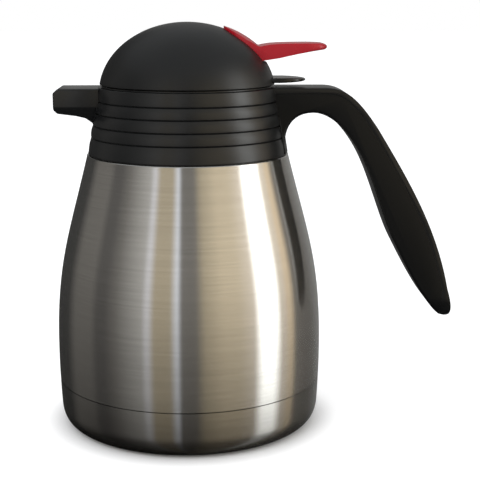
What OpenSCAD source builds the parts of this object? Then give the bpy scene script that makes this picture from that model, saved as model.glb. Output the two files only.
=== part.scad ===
// Thermal carafe: a double-walled steel flask, a black collar with a spout and an open handle,
// and a screw-in lid whose red lever lifts a sprung valve.
// The spout points along -X, the handle along +X, and the foot stands on Z = 0.

/* [Flask] */
// Widest radius of the steel body
body_r = 65.1; // [64.8:0.1:65.4]
// Height of the seam between the body and the base cup
seam_z = 23; // [22.6:0.1:23.4]
// Radius of the foot's outer edge
foot_r = 56; // [54:0.5:57]
// Thickness of the steel walls
wall = 0.8; // [0.6:0.1:0.9]

/* [Collar] */
// Radius of the collar at its lower edge
collar_low_r = 48.3; // [48:0.1:48.5]
// Radius of the collar at its rim
collar_top_r = 43; // [42.8:0.1:43.2]
// Height of the collar's rim
rim_z = 166.2; // [166:0.1:166.4]
// Outside width of the spout
spout_w = 25; // [23:0.5:26]
// How far the spout's mouth stands from the axis
spout_reach = 63.5; // [61:0.5:66]

/* [Handle] */
// Width of the grip
grip_w = 24; // [22:0.5:25]
// Width of the plate where the handle meets the collar
root_w = 26; // [25:0.5:27]

/* [Lid] */
// Radius of the dome
dome_a = 42.5; // [42.4:0.1:42.6]
// Height of the dome above its centre plane
dome_c = 34; // [33.8:0.1:34.2]
// Width of the lever
lever_w = 22.5; // [21:0.5:22.5]
// Radius of the valve stem
stem_r = 3; // [2.9:0.02:3]

/* [Hidden] */
$fn = 96;

// Steel body
seam_gap = 0.4;          // open line at the seam
corner_z = 9.5;          // height where the foot's round corner ends
corner_r = 64.2;         // radius there
foot_inner_r = 51;       // inner edge of the foot
recess_z = 3.2;          // underside of the base plate
shoulder_z = 132.6;      // where the visible steel ends
shoulder_r = 48.9;
neck_r = 36.2;           // outside of the steel neck
lip_z = 151.5;           // top of the steel neck
liner_floor_z = 9;

// Collar
collar_z = 133.6;        // lower edge
skin = 2.4;              // thickness of the collar's outer wall
groove_z = [141.9, 147.7, 153.5, 159.1];
groove_deep = 0.7;
groove_high = 1.0;
ledge_z = 152.7;         // ledge that the neck ring sits on
pour_bore_r = 38.8;      // inside of the collar above the ledge
pour_low_z = 155.2;      // floor of the spout channel
pour_high_z = 162.8;     // roof of the spout channel
channel_w = 20.4;        // inside width of the spout

// Neck ring
ring_skirt_r = 33.9;
ring_bore_r = 31.6;
ring_low_z = 137.5;
ring_ledge_z = 139.5;
mouth_r = 27.5;
thread_starts = 3;
thread_arc = 80;         // degrees that each ramp of the thread covers
thread_tilt = 2.4;       // degrees that each ramp climbs
ring_crest_r = 30.65;
plug_crest_r = 30.35;

// Stopper
plug_r = 29.5;
plug_inner_r = 27.7;
nose_r = 27;
nose_z = 134;
step_z = 141.5;
floor_t = 2.5;
flange_z = 167.7;
flange_top = 170;
flange_r = 39;
seat_r = 9;
tab_reach = 57;
tab_w = 21;
boss_at_r = 24.4;

// Dome, with its lever slot
dome_z = 162.2;          // height of the dome's centre plane
dome_low = 166.9;        // lower edge of the dome
dome_t = 2.2;
slot_gap = 0.3;          // clearance at each side of the lever
slot_front_x = 17.2;
strip_front_x = 17.6;
front_round = 11;
strip_proud = 0.5;
strip_back = 2;          // the tongue's curve is the dome's, moved back, so it stands proud at its rear
strip_t = 3.4;

// Lever pivot
pivot = [30, 176];
pin_r = 1.5;
pin_play = 0.05;
knuckle_r = 3.8;
knuckle_w = 14;
ear_w = 3;

// Valve
guide_play = 0.08;
guide_r = 6.5;
guide_low = 166;
guide_high = 178;
plate_t = 1.6;
head_z = 186.1;
head_r = 5.2;
disc_r = 13;
disc_z = 138;
disc_t = 2.5;
spring_r = 5.2;          // radius of the wire's centreline
wire_r = 0.5;
spring_turns = 7;
wire_sides = 6;
steps_per_turn = 14;

// Handle outlines, as curves through [x, z]
handle_top_z = 165.4;
handle_tip = [127.5, 51.2];
handle_toe = [124, 52.8];
toe_z = 62.6;            // centre of the round that ends the handle across
toe_r = grip_w / 2 + 0.1;
back_t = 2.6;
handle_wall = 2.6;
hollow_x = 55;
hollow_z = 64;
peg_y = 7;
peg_z = 143.5;
peg_r = 3.4;

// Points along a cubic curve with four control points
function curve(p, n) = [for (i = [0:n]) let (t = i / n, s = 1 - t)
    s*s*s*p[0] + 3*s*s*t*p[1] + 3*s*t*t*p[2] + t*t*t*p[3]];
function reversed(p) = [for (i = [len(p) - 1:-1:0]) p[i]];
function after(p) = [for (i = [1:len(p) - 1]) p[i]];
// A line of points moved sideways, to the left of the way it runs
function inset(p, t) = [for (i = [0:len(p) - 1])
    let (d = p[min(i + 1, len(p) - 1)] - p[max(i - 1, 0)]) p[i] + t * [-d[1], d[0]] / norm(d)];
// A wall between a line of points and the same line moved to its left
function walled(p, t) = concat(p, reversed(inset(p, t)));
// Radius of the collar's outside at a height
function collar_r(z) = collar_low_r + (collar_top_r - collar_low_r) * (z - collar_z) / (rim_z - collar_z);
// Points on a dome's outline from height z up to the top
function dome_line(a, c, z, n) = let (low = asin((z - dome_z) / c))
    [for (i = [0:n]) let (u = low + (90 - low) * i / n) [a * cos(u), dome_z + c * sin(u)]];

base_line = concat(curve([[foot_r, 0], [61.3, 0], [63.8, 4], [corner_r, corner_z]], 10),
                   after(curve([[corner_r, corner_z], [64.5, 14], [64.7, 18],
                                [body_r - 0.3, seam_z - seam_gap / 2]], 4)));
shell_line = concat(curve([[body_r - 0.25, seam_z + seam_gap / 2], [body_r - 0.1, 27],
                           [body_r, 31], [body_r, 38]], 4),
                    after(curve([[body_r, 38], [body_r, 80], [58.9, 93], [shoulder_r, shoulder_z]], 22)),
                    after(curve([[shoulder_r, shoulder_z], [49, 133.3], [48.6, 133.5], [47.8, 133.5]], 4)),
                    after(curve([[47.8, 133.5], [41.5, 133.5], [neck_r, 136], [neck_r, 143]], 10)),
                    [[neck_r, lip_z]]);
liner_line = concat([[0, liner_floor_z]],
                    curve([[46, liner_floor_z], [54, liner_floor_z], [58.6, 14], [58.8, 22]], 10),
                    after(curve([[58.8, 22], [59.1, 28], [59.1, 32], [59.1, 38]], 3)),
                    after(curve([[59.1, 38], [59.1, 79], [53.6, 91], [43.4, 127.5]], 20)),
                    after(curve([[43.4, 127.5], [42, 132.5], [neck_r - wall, 131], [neck_r - wall, 138]], 10)),
                    [[neck_r - wall, lip_z]]);

handle_outer = concat([[40, handle_top_z], [66, handle_top_z]],
                      after(curve([[66, handle_top_z], [75.5, 165.4], [81.4, 160.6], [91.5, 145.6]], 12)),
                      after(curve([[91.5, 145.6], [106, 122], [121.3, 98], [127.6, 66.5]], 12)));
handle_end = curve([[127.6, 66.5], [130, 58.5], [131.7, 50.2], handle_tip], 8);
handle_parting = concat([handle_toe], inset(reversed(handle_outer), back_t));
handle_inner = concat(curve([handle_toe, [115.2, 61], [106.5, 78.5], [101, 89.2]], 10),
                      after(curve([[101, 89.2], [95.7, 99.2], [91.2, 116.8], [85, 129.8]], 10)),
                      after(curve([[85, 129.8], [79.4, 141.6], [70, 153.6], [60.1, 153.6]], 10)),
                      after(curve([[60.1, 153.6], [47.6, 153.6], [45.4, 142.6], [47, 135]], 10)));

// A flat outline in X and Z, given a width along Y about the middle plane
module slab(w) { rotate([90, 0, 0]) linear_extrude(w, center = true) children(); }
// A ring of rectangular section
module ring(outer, inner, low, high) {
    rotate_extrude() translate([inner, low]) square([outer - inner, high - low]);
}
// A rod along X
module rod_x(r, x0, x1, y, z) { translate([x0, y, z]) rotate([0, 90, 0]) cylinder(r = r, h = x1 - x0); }
// A rod along Y about the middle plane
module rod_y(r, w, at) {
    translate([at[0], 0, at[1]]) rotate([90, 0, 0]) cylinder(r = r, h = w, center = true);
}
// The three sloping ramps of a coarse thread, between two radii
module thread_ramps(r_in, r_out, z, high) {
    for (i = [0:thread_starts - 1]) rotate([0, 0, i * 360 / thread_starts]) translate([0, 0, z])
        rotate([thread_tilt, 0, 0]) rotate([0, 0, -thread_arc / 2])
        rotate_extrude(angle = thread_arc)
        polygon([[r_in, -high / 2], [r_out, -high / 4], [r_out, high / 4], [r_in, high / 2]]);
}

module outer_shell() { color("silver") rotate_extrude() polygon(walled(shell_line, wall)); }

module base_cup() {
    line = concat([[0, recess_z], [foot_inner_r - 2, recess_z], [foot_inner_r, 0]], base_line);
    inner = inset(base_line, wall);
    color("silver") difference() {
        rotate_extrude() polygon(concat(line, reversed(after(inner)),
            [[foot_r, wall], [foot_inner_r + 0.4, wall]],
            [[foot_inner_r - 1.6, recess_z + wall], [0, recess_z + wall]]));
        translate([0, 0, recess_z - 1]) cylinder(r = 1.6, h = wall + 2);
    }
}

// A non-slip pad that fills the recess under the base
module base_pad() { color("#232527") cylinder(r = foot_inner_r - 2.3, h = recess_z); }

module inner_liner() {
    color("lightgray") rotate_extrude() polygon(concat(liner_line,
        reversed(inset(after(after(liner_line)), wall)),
        [[46, liner_floor_z + wall], [0, liner_floor_z + wall]]));
}

module getter() {
    color("dimgray") difference() {
        translate([0, 26, recess_z + wall]) cylinder(r = 6, h = 2.4);
        translate([0, 26, recess_z + wall + 1]) cylinder(r = 5, h = 3);
    }
}

module vacuum_seal() {
    color("gray") {
        translate([0, 0, recess_z]) cylinder(r = 1.6, h = wall);
        translate([0, 0, recess_z + wall]) cylinder(r = 4, h = 1.2);
    }
}

// The collar's outside, stepped by its grooves
collar_line = concat([[collar_low_r, collar_z]],
    [for (g = groove_z) for (s = [[0, -groove_high / 2], [-groove_deep, -groove_high / 5],
                                  [-groove_deep, groove_high / 5], [0, groove_high / 2]])
        [collar_r(g + s[1]) + s[0], g + s[1]]],
    [[collar_top_r, rim_z - 1], [collar_top_r - 0.4, rim_z - 0.6], [collar_top_r - 1.9, rim_z - 0.6],
     [collar_top_r - 1.9, rim_z]]);

module spout_outside() {
    half = spout_w / 2;
    low_half = half - 4.5;
    intersection() {
        slab(spout_w) polygon([[-40, 165.4], [2 - spout_reach, 165.4], [-spout_reach, 163.5],
                               [-spout_reach, 155.3], [1.6 - spout_reach, 153.4], [-48.5, 151.4],
                               [-43.6, 147], [-40, 147]]);
        rotate([90, 0, -90]) linear_extrude(spout_reach + 1)
            polygon([[-half, 166], [-half, 156.6], [-low_half, 150], [-low_half, 140],
                     [low_half, 140], [low_half, 150], [half, 156.6], [half, 166]]);
    }
}

module collar() {
    inner_wall = [[collar_low_r - skin, collar_z], [collar_r(148) - skin, 148], [neck_r + 0.4, 150.2],
                  [neck_r + 0.4, ledge_z], [pour_bore_r, ledge_z], [pour_bore_r, rim_z - 0.6],
                  [pour_bore_r + 0.6, rim_z]];
    color("#26282b") difference() {
        union() {
            rotate_extrude() polygon(concat(collar_line, reversed(inner_wall)));
            difference() {
                spout_outside();
                rotate_extrude() polygon([[0, 130], [collar_low_r - skin / 2, 130],
                                          [collar_top_r - skin / 2, 168], [0, 168]]);
            }
        }
        translate([-spout_reach - 1, -channel_w / 2, pour_low_z])
            cube([spout_reach + 1 - pour_bore_r + 2, channel_w, pour_high_z - pour_low_z]);
        for (side = [-1, 1]) rod_x(peg_r + 0.2, 40, 50, side * peg_y, peg_z);
    }
}

module neck_ring() {
    color("#303236") {
        rotate_extrude() polygon([[mouth_r, ring_low_z], [ring_skirt_r, ring_low_z], [ring_skirt_r, ledge_z],
            [pour_bore_r - 0.2, ledge_z], [pour_bore_r - 0.2, ledge_z + 2.1], [ring_bore_r, ledge_z + 2.1],
            [ring_bore_r, ring_ledge_z], [mouth_r, ring_ledge_z]]);
        thread_ramps(ring_bore_r + 0.3, ring_crest_r, 149.6, 2.6);
    }
}

module neck_gasket() { color("white") ring(neck_r, neck_r - 1.9, lip_z, ledge_z); }

// The collar's cone, which the handle's root is cut to
module collar_cone() {
    rotate_extrude() polygon([[0, 125], [collar_r(125), 125], [collar_r(170), 170], [0, 170]]);
}

// The room above the toe, closed by a round across it, which gives the handle its round end
module above_toe() {
    rotate([90, 0, 90]) linear_extrude(handle_tip[0] + 10) union() {
        translate([0, toe_z]) circle(r = toe_r);
        translate([-root_w, toe_z]) square([2 * root_w, rim_z]);
    }
}

// The hollow of the handle starts past the root and ends before the toe
function in_hollow(p) = p[0] > hollow_x && p[1] > hollow_z;

module handle_shell() {
    parting = reversed(after(handle_parting));
    body = concat(handle_inner, [[40, 135], [40, handle_top_z - back_t]], parting);
    hollow = concat([for (p = inset(handle_inner, -handle_wall)) if (in_hollow(p)) p],
                    [for (p = handle_outer) if (in_hollow(p)) p]);
    full = concat(inset(handle_inner, -1.2), [[40, 137], [40, handle_top_z - back_t]], parting);
    color("#1d1f21") intersection() {
        above_toe();
        difference() {
            union() {
                slab(grip_w - 3) polygon(body);
                slab(grip_w) intersection() {
                    polygon(body);
                    polygon(full);
                }
                slab(root_w) polygon([[40, 136], [46.6, 136], [45.8, 144], [48.4, 152], [54, 158],
                                      [54, handle_top_z - back_t], [40, handle_top_z - back_t]]);
            }
            collar_cone();
            slab(grip_w - 2 * handle_wall) polygon(hollow);
            for (side = [-1, 1]) rod_x(peg_r - 0.2, 40.8, 47.2, side * peg_y, peg_z);
        }
    }
    color("#1d1f21") for (side = [-1, 1]) difference() {
        rod_x(peg_r, 40.8, 47, side * peg_y, peg_z);
        rod_x(1.2, 40, 46, side * peg_y, peg_z);
    }
}

module handle_back() {
    color("#2a2c2e") intersection() {
        above_toe();
        difference() {
            slab(grip_w - 1) polygon(concat(handle_outer, after(handle_end), handle_parting));
            collar_cone();
        }
    }
}

module handle_screws() {
    color("silver") for (side = [-1, 1]) {
        rod_x(1.2, 40.8, 45.5, side * peg_y, peg_z);
        difference() {
            rod_x(3.1, 38.8, 40.8, side * peg_y, peg_z);
            for (turn = [0, 90]) translate([38.8, side * peg_y, peg_z]) rotate([turn, 0, 0])
                cube([1.6, 3.4, 0.7], center = true);
        }
    }
}

module rim_gasket() { color("#232527") ring(pour_bore_r - 0.3, 36.4, 164.4, flange_z - 0.2); }

module stopper_gasket() { color("gainsboro") ring(30.3, nose_r + 0.2, ring_ledge_z + 0.05, step_z - 0.05); }

module stopper_body() {
    color("#1f2123") difference() {
        union() {
            rotate_extrude() polygon([[0, nose_z], [nose_r - 1, nose_z], [nose_r, nose_z + 1],
                [nose_r, step_z], [plug_r, step_z], [plug_r, flange_z], [flange_r, flange_z],
                [flange_r, flange_top], [plug_inner_r, flange_top], [plug_inner_r, step_z + 1.5],
                [nose_r - 2, step_z], [nose_r - 2, nose_z + floor_t], [0, nose_z + floor_t]]);
            thread_ramps(plug_r - 0.3, plug_crest_r, 145, 2.4);
            lid_tab();
            for (i = [0:2]) rotate([0, 0, 60 + 120 * i]) translate([boss_at_r, 0, 158])
                cylinder(r = 3.4, h = flange_top - 158);
        }
        translate([0, 0, nose_z - 1]) cylinder(r = seat_r, h = floor_t + 2);
        for (turn = [0:90:270]) rotate([0, 0, turn])
            translate([20, -8, pour_low_z]) cube([15, 16, 8]);
        for (i = [0:2]) rotate([0, 0, 60 + 120 * i]) translate([boss_at_r, 0, 160]) cylinder(r = 1.2, h = 12);
    }
}

// The thumb tab behind the dome, thinner and lower towards its round end
module lid_tab() {
    intersection() {
        slab(tab_w) polygon([[34, flange_z], [44, flange_z + 0.1], [54, flange_z + 0.15],
                             [tab_reach - 0.6, flange_z + 0.4], [tab_reach, flange_z + 1],
                             [tab_reach, flange_z + 1.6], [tab_reach - 0.6, flange_z + 2.1],
                             [54, flange_top], [34, flange_top]]);
        translate([0, 0, flange_z - 1]) linear_extrude(5) union() {
            translate([tab_reach - tab_w / 2, 0]) circle(r = tab_w / 2);
            translate([34, -tab_w / 2]) square([tab_reach - tab_w / 2 - 34, tab_w]);
        }
    }
}

module lid_bridge() {
    color("#33363a") difference() {
        union() {
            translate([0, 0, flange_top]) cylinder(r = 36.4, h = plate_t);
            translate([0, 0, guide_low]) cylinder(r = guide_r, h = guide_high - guide_low);
            for (side = [-1, 1]) translate([0, side * (knuckle_w / 2 + 0.3 + ear_w / 2), 0]) slab(ear_w)
                polygon([[pivot[0] - 5, flange_top + 1], [pivot[0] - 3, 178.4],
                         [pivot[0] + 2.4, 178.4], [pivot[0] + 4, flange_top + 1]]);
        }
        translate([0, 0, guide_low - 1]) cylinder(r = stem_r + guide_play, h = 20);
        translate([0, 0, guide_low - 1]) cylinder(r = 4.6, h = 2.6);
        rod_y(pin_r, 30, pivot);
        for (i = [0:2]) rotate([0, 0, 60 + 120 * i]) translate([boss_at_r, 0, flange_top - 1])
            cylinder(r = 1.6, h = 5);
    }
}

module bridge_screws() {
    color("silver") for (i = [0:2]) rotate([0, 0, 60 + 120 * i]) translate([boss_at_r, 0, 0]) {
        translate([0, 0, 161]) cylinder(r = 1.2, h = flange_top + plate_t - 161);
        difference() {
            translate([0, 0, flange_top + plate_t]) cylinder(r = 2.7, h = 1.8);
            for (turn = [0, 90]) rotate([0, 0, turn]) translate([0, 0, flange_top + plate_t + 1.8])
                cube([3.2, 0.7, 1.6], center = true);
        }
    }
}

// An upright block behind a front line, with its front corners rounded by a radius
module front_rounded(x, w, r) {
    translate([0, 0, 165]) linear_extrude(40) union() {
        translate([x + r, -w / 2]) square([60, w]);
        translate([x, -w / 2 + r]) square([r * 2, w - 2 * r]);
        for (side = [-1, 1]) translate([x + r, side * (w / 2 - r)]) circle(r = r);
    }
}

module dome_shell() {
    outer = dome_line(dome_a, dome_c, dome_low, 24);
    inner = dome_line(dome_a - dome_t, dome_c - dome_t, dome_low, 24);
    color("#2b2d2f") difference() {
        rotate_extrude() polygon(concat(outer, reversed(inner)));
        intersection() {
            slab(lever_w + 2 * slot_gap) polygon([[slot_front_x, 170], [slot_front_x, 200], [70, 200],
                                                  [70, 177.3], [36, 177.3], [20, 168]]);
            front_rounded(slot_front_x, lever_w + 2 * slot_gap, front_round + slot_gap);
        }
        translate([30, -tab_w / 2 - 0.2, flange_z - 0.2])
            cube([20, tab_w + 0.4, flange_top - flange_z + 0.4]);
    }
}

module lever_pin() { color("silver") rod_y(pin_r, knuckle_w + 0.6 + 2 * ear_w, pivot); }

module stem_seal() { color("gainsboro") ring(4.6, stem_r + guide_play, guide_low + 0.1, guide_low + 1.6); }

// A point on the spring's centreline, at a share of its length
function spring_at(s) = let (low = disc_z + disc_t + wire_r + 0.1, high = guide_low - wire_r - 0.1)
    [spring_r * cos(360 * spring_turns * s), spring_r * sin(360 * spring_turns * s), low + s * (high - low)];

// One wire, swept along its helix
module valve_spring() {
    n = spring_turns * steps_per_turn;
    points = [for (i = [0:n]) let (a = 360 * spring_turns * i / n) for (k = [0:wire_sides - 1])
        let (b = 360 * k / wire_sides, out = wire_r * cos(b))
        spring_at(i / n) + [out * cos(a), out * sin(a), wire_r * sin(b)]];
    sides = [for (i = [0:n - 1]) for (k = [0:wire_sides - 1]) let (j = (k + 1) % wire_sides)
        [i * wire_sides + k, (i + 1) * wire_sides + k, (i + 1) * wire_sides + j, i * wire_sides + j]];
    ends = [[for (k = [0:wire_sides - 1]) k], [for (k = [wire_sides - 1:-1:0]) n * wire_sides + k]];
    color("silver") polyhedron(points, concat(sides, ends));
}

module lever() {
    strip_a = dome_a + strip_proud;
    strip_c = dome_c + strip_proud;
    color("#b5202c") difference() {
        union() {
            // The strip that lies in the dome's slot and follows its curve
            intersection() {
                translate([strip_back, 0, 0]) rotate_extrude() polygon(concat(
                    dome_line(strip_a, strip_c, 172, 20),
                    reversed(dome_line(strip_a - strip_t, strip_c - strip_t, 172, 20))));
                slab(lever_w) polygon([[strip_front_x, 178.4], [strip_front_x, 200], [60, 200], [60, 178.4]]);
                front_rounded(strip_front_x, lever_w, front_round);
            }
            // The thumb piece, with round corners at its end
            intersection() {
                slab(lever_w) polygon(concat(
                    [[31, 183.6], [34, 184.9], [41.5, 186], [48.6, 186.3], [65.2, 186.3]],
                    curve([[65.2, 186.3], [67.4, 186.3], [67.6, 183.6], [65, 183.3]], 6),
                    [[52, 181.2], [44, 179.5], [37.2, 178.4], [34.6, 178.4], [31, 181]]));
                translate([0, 0, 170]) linear_extrude(30) union() {
                    translate([0, -lever_w / 2]) square([60, lever_w]);
                    for (side = [-1, 1]) translate([60, side * (lever_w / 2 - 7)]) circle(r = 7);
                    translate([60, -lever_w / 2 + 7]) square([7, lever_w - 14]);
                }
            }
            // The knuckle on the pin, and the web that carries it
            rod_y(knuckle_r, knuckle_w, pivot);
            slab(knuckle_w) polygon([[pivot[0] - 3, 176], [26, 186], [32.5, 183], [34.2, 178.6],
                                     [pivot[0] + 3.4, 176]]);
            // The yoke that lifts the stem's head
            for (side = [-1, 1]) {
                translate([-3, side * 6.9 - 1.1, 182.8]) cube([32, 2.2, 4]);
                translate([-1.5, side * 4.6 - 1.3, 182.8]) cube([3, 2.6, 3]);
            }
        }
        rod_y(pin_r + pin_play, 40, pivot);
    }
}

module valve_stem() {
    color("gainsboro") {
        translate([0, 0, 136.6]) cylinder(r = stem_r, h = head_z - 136.6);
        translate([0, 0, head_z]) cylinder(r1 = head_r, r2 = head_r - 0.8, h = 2.4);
    }
}

module valve_disc() {
    color("#d8d8d4") difference() {
        union() {
            translate([0, 0, disc_z]) cylinder(r = disc_r, h = disc_t - 1);
            translate([0, 0, disc_z]) cylinder(r = 4.4, h = disc_t);
        }
        translate([0, 0, disc_z - 1]) cylinder(r = stem_r, h = 6);
    }
}

module valve_seal() { color("gainsboro") ring(12, stem_r, nose_z + floor_t + 0.1, disc_z); }

outer_shell();
base_cup();
base_pad();
inner_liner();
getter();
vacuum_seal();
collar();
neck_ring();
neck_gasket();
handle_shell();
handle_back();
handle_screws();
rim_gasket();
stopper_gasket();
stopper_body();
lid_bridge();
bridge_screws();
dome_shell();
lever_pin();
stem_seal();
valve_spring();
lever();
valve_stem();
valve_disc();
valve_seal();
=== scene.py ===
# %% [markdown]
# # A thermal carafe
#
# A brushed steel flask, a black collar with a spout and an open handle, and a screw-in lid whose
# red lever opens the valve. The engineering model is the frame: its nodes give every size and every
# joint. The pieces made here take the place of its plain solids and ride on the same bodies, so the
# lid still unscrews and the lever still tips.

# %% The frame
import bmesh
import bpy
import math
from mathutils import Matrix, Vector


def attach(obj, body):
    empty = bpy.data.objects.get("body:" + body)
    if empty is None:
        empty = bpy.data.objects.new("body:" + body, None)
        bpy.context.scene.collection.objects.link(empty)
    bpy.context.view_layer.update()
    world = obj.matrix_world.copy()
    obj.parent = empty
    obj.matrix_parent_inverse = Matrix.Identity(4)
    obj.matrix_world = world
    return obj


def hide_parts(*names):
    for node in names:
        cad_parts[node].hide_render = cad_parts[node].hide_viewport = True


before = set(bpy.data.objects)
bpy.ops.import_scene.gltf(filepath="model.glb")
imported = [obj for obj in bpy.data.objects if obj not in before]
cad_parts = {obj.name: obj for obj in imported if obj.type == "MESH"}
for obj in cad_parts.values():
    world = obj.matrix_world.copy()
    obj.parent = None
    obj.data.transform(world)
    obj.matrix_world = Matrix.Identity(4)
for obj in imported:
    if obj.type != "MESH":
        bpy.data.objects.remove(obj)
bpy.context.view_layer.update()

# %% [markdown]
# ## The camera
#
# The photograph is taken from a little above the lid, with a long lens. The place, the tilt and the
# lens were found by fitting the ellipses of the collar's grooves, the seam and the foot. An aimed
# camera is used rather than a shifted lens, because it also serves the views from other sides.

# %% Camera
CAMERA_AT = (0.00443, -0.56489, 0.20937)
CAMERA_LENS = 87.283
CAMERA_TURN = 2.127
CAMERA_DOWN = 11.962

camera_data = bpy.data.cameras.new("camera")
camera_data.lens = CAMERA_LENS
camera_data.sensor_width = 36
camera_data.clip_start = 0.01
camera = bpy.data.objects.new("camera", camera_data)
bpy.context.scene.collection.objects.link(camera)
camera.location = CAMERA_AT
camera.rotation_euler = (math.radians(90 - CAMERA_DOWN), 0, math.radians(-CAMERA_TURN))
bpy.context.scene.camera = camera
print("camera", tuple(camera.location), "lens", camera_data.lens)

# %% [markdown]
# ## Shader maths as plain expressions
#
# A node tree is a formula, and a formula is easier to read as one. `Wire` wraps an output socket,
# and its operators add Math nodes. `Finish` holds one material's tree, with a single method that
# adds any other node.

# %% Wire and Finish
class Wire:
    """An output socket that can be used in sums."""

    def __init__(self, finish, socket):
        self.finish, self.socket = finish, socket

    def maths(self, operation, *others):
        """A Math node with this socket first."""
        return self.finish.node("ShaderNodeMath", {"operation": operation}, {
            i: value for i, value in enumerate((self, *others))})

    def __add__(self, other):
        return self.maths("ADD", other)

    def __mul__(self, other):
        return self.maths("MULTIPLY", other)

    def __truediv__(self, other):
        return self.maths("DIVIDE", other)


class Finish:
    """A node tree for a material or the world."""

    def __init__(self, tree):
        self.tree = tree
        self.tree.nodes.clear()

    def node(self, kind, settings=None, values=None, out=0):
        """Adds a node, with its settings and with a value or a wire at each named input."""
        made = self.tree.nodes.new(kind)
        for key, value in (settings or {}).items():
            if key == "stops":
                self.set_stops(made.color_ramp, value)
            else:
                setattr(made, key, value)
        for key, value in (values or {}).items():
            if isinstance(value, Wire):
                self.tree.links.new(value.socket, made.inputs[key])
            else:
                made.inputs[key].default_value = value
        return Wire(self, made.outputs[out]) if made.outputs else made

    def set_stops(self, ramp, stops):
        """Fills a colour ramp with stops of a place and a colour."""
        while len(ramp.elements) > 1:
            ramp.elements.remove(ramp.elements[-1])
        for i, (place, colour) in enumerate(stops):
            element = ramp.elements[0] if i == 0 else ramp.elements.new(place)
            element.position = place
            element.color = (*colour, 1)


def material(name):
    """A new material and its tree."""
    made = bpy.data.materials.new(name)
    made.use_nodes = True
    return made, Finish(made.node_tree)


# %% Small parts that every finish uses
def place(finish, scale=(1, 1, 1)):
    """The piece's own coordinates in metres, stretched by a scale."""
    here = finish.node("ShaderNodeTexCoord", out="Object")
    return finish.node("ShaderNodeMapping", {}, {"Vector": here, "Scale": scale})


def grain(finish, scale, detail=2.0, stretch=(1, 1, 1), rough=0.5):
    """Noise of a given number of spots per metre, between 0 and 1."""
    return finish.node("ShaderNodeTexNoise", {}, {
        "Vector": place(finish, stretch), "Scale": scale, "Detail": detail, "Roughness": rough})


def between(finish, wire, low, high):
    """A wire from 0 to 1, spread to a new range."""
    return finish.node("ShaderNodeMapRange", {"clamp": True}, {
        "Value": wire, "To Min": low, "To Max": high})


def blended(finish, mask, first, second):
    """A colour between two others, by a mask."""
    return finish.node("ShaderNodeMix", {"data_type": "RGBA"}, {
        "Factor": mask, 6: (*first, 1), 7: (*second, 1)}, out=2)


print("helpers for materials are ready")

# %% [markdown]
# ## Black moulded plastic
#
# The collar, handle and dome are satin black. Real moulds are spark-eroded, so the surface has a
# grain of about a quarter of a millimetre, which keeps reflections broad. The colour is near black
# with a slight unevenness, and handling polishes it in soft patches.

# %% Plastics
CLOUD_SPOTS, HANDLED_SPOTS = 28, 60
GRAIN_STRENGTH = 0.35


def plastic(name, deep, pale, rough, grain_scale, grain_height, gloss=0.4, polish=0.08):
    """A moulded plastic, uneven in colour and polished in patches; its grain is in spots per metre."""
    made, finish = material(name)
    cloud = grain(finish, CLOUD_SPOTS, detail=3)
    fine = grain(finish, grain_scale, detail=2)
    handled = grain(finish, HANDLED_SPOTS, detail=4, rough=0.6)
    colour = blended(finish, between(finish, cloud * 0.7 + fine * 0.3, 0, 1), deep, pale)
    roughness = between(finish, handled, rough - polish, rough + polish)
    bump = finish.node("ShaderNodeBump", {}, {
        "Strength": GRAIN_STRENGTH, "Distance": grain_height, "Height": fine})
    shader = finish.node("ShaderNodeBsdfPrincipled", {}, {
        "Base Color": colour, "Roughness": roughness, "Normal": bump, "Specular IOR Level": gloss})
    finish.node("ShaderNodeOutputMaterial", {}, {"Surface": shader})
    return made


black = plastic("black satin plastic", (0.0066, 0.0072, 0.0076), (0.0108, 0.0112, 0.0116),
                0.30, 3800, 0.00006, gloss=0.5, polish=0.05)
black_dome = plastic("black dome plastic", (0.0062, 0.0068, 0.0070), (0.0104, 0.0108, 0.0110),
                     0.40, 3800, 0.00006, gloss=0.45, polish=0.06)
black_grip = plastic("black grip plastic", (0.0032, 0.0036, 0.0038), (0.0060, 0.0062, 0.0064),
                     0.36, 3600, 0.00006, gloss=0.2, polish=0.05)
black_cover = plastic("black cover plastic", (0.0042, 0.0046, 0.0048), (0.0078, 0.0080, 0.0082),
                      0.33, 4200, 0.00004, gloss=0.42, polish=0.05)
black_tab = plastic("black polished plastic", (0.005, 0.005, 0.005), (0.009, 0.0088, 0.0085),
                    0.24, 2500, 0.00002, gloss=0.5)
red = plastic("red lever plastic", (0.40, 0.006, 0.014), (0.50, 0.010, 0.022),
              0.28, 2600, 0.000012, gloss=0.5)
inner_black = plastic("inner black plastic", (0.010, 0.010, 0.011), (0.016, 0.016, 0.017),
                      0.46, 3000, 0.00005)
natural = plastic("natural plastic", (0.62, 0.62, 0.59), (0.70, 0.70, 0.67), 0.38, 2400, 0.00003)
silicone = plastic("white silicone", (0.60, 0.60, 0.57), (0.70, 0.69, 0.66),
                   0.55, 1800, 0.00004, gloss=0.3)
pad_rubber = plastic("black pad rubber", (0.010, 0.010, 0.010), (0.018, 0.018, 0.018),
                     0.72, 1500, 0.0001, gloss=0.3)
print("plastics", [m.name for m in (black, black_cover, black_tab, red, inner_black, natural, silicone)])

# %% [markdown]
# ## Brushed steel
#
# The body is brushed while it spins on a lathe, so its scratches run round it. Scratches spread a
# reflection across themselves: up and down here, while it stays sharp from side to side. That is
# why such a flask shows upright bands of the room. The shader's own anisotropy does most of this,
# and a noise that is long round the body and fine in height gives the scratches themselves, as a
# slight relief and as streaks of colour. The deepest scratches throw a little light wide, which is a
# haze over the darkest reflections.

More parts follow.
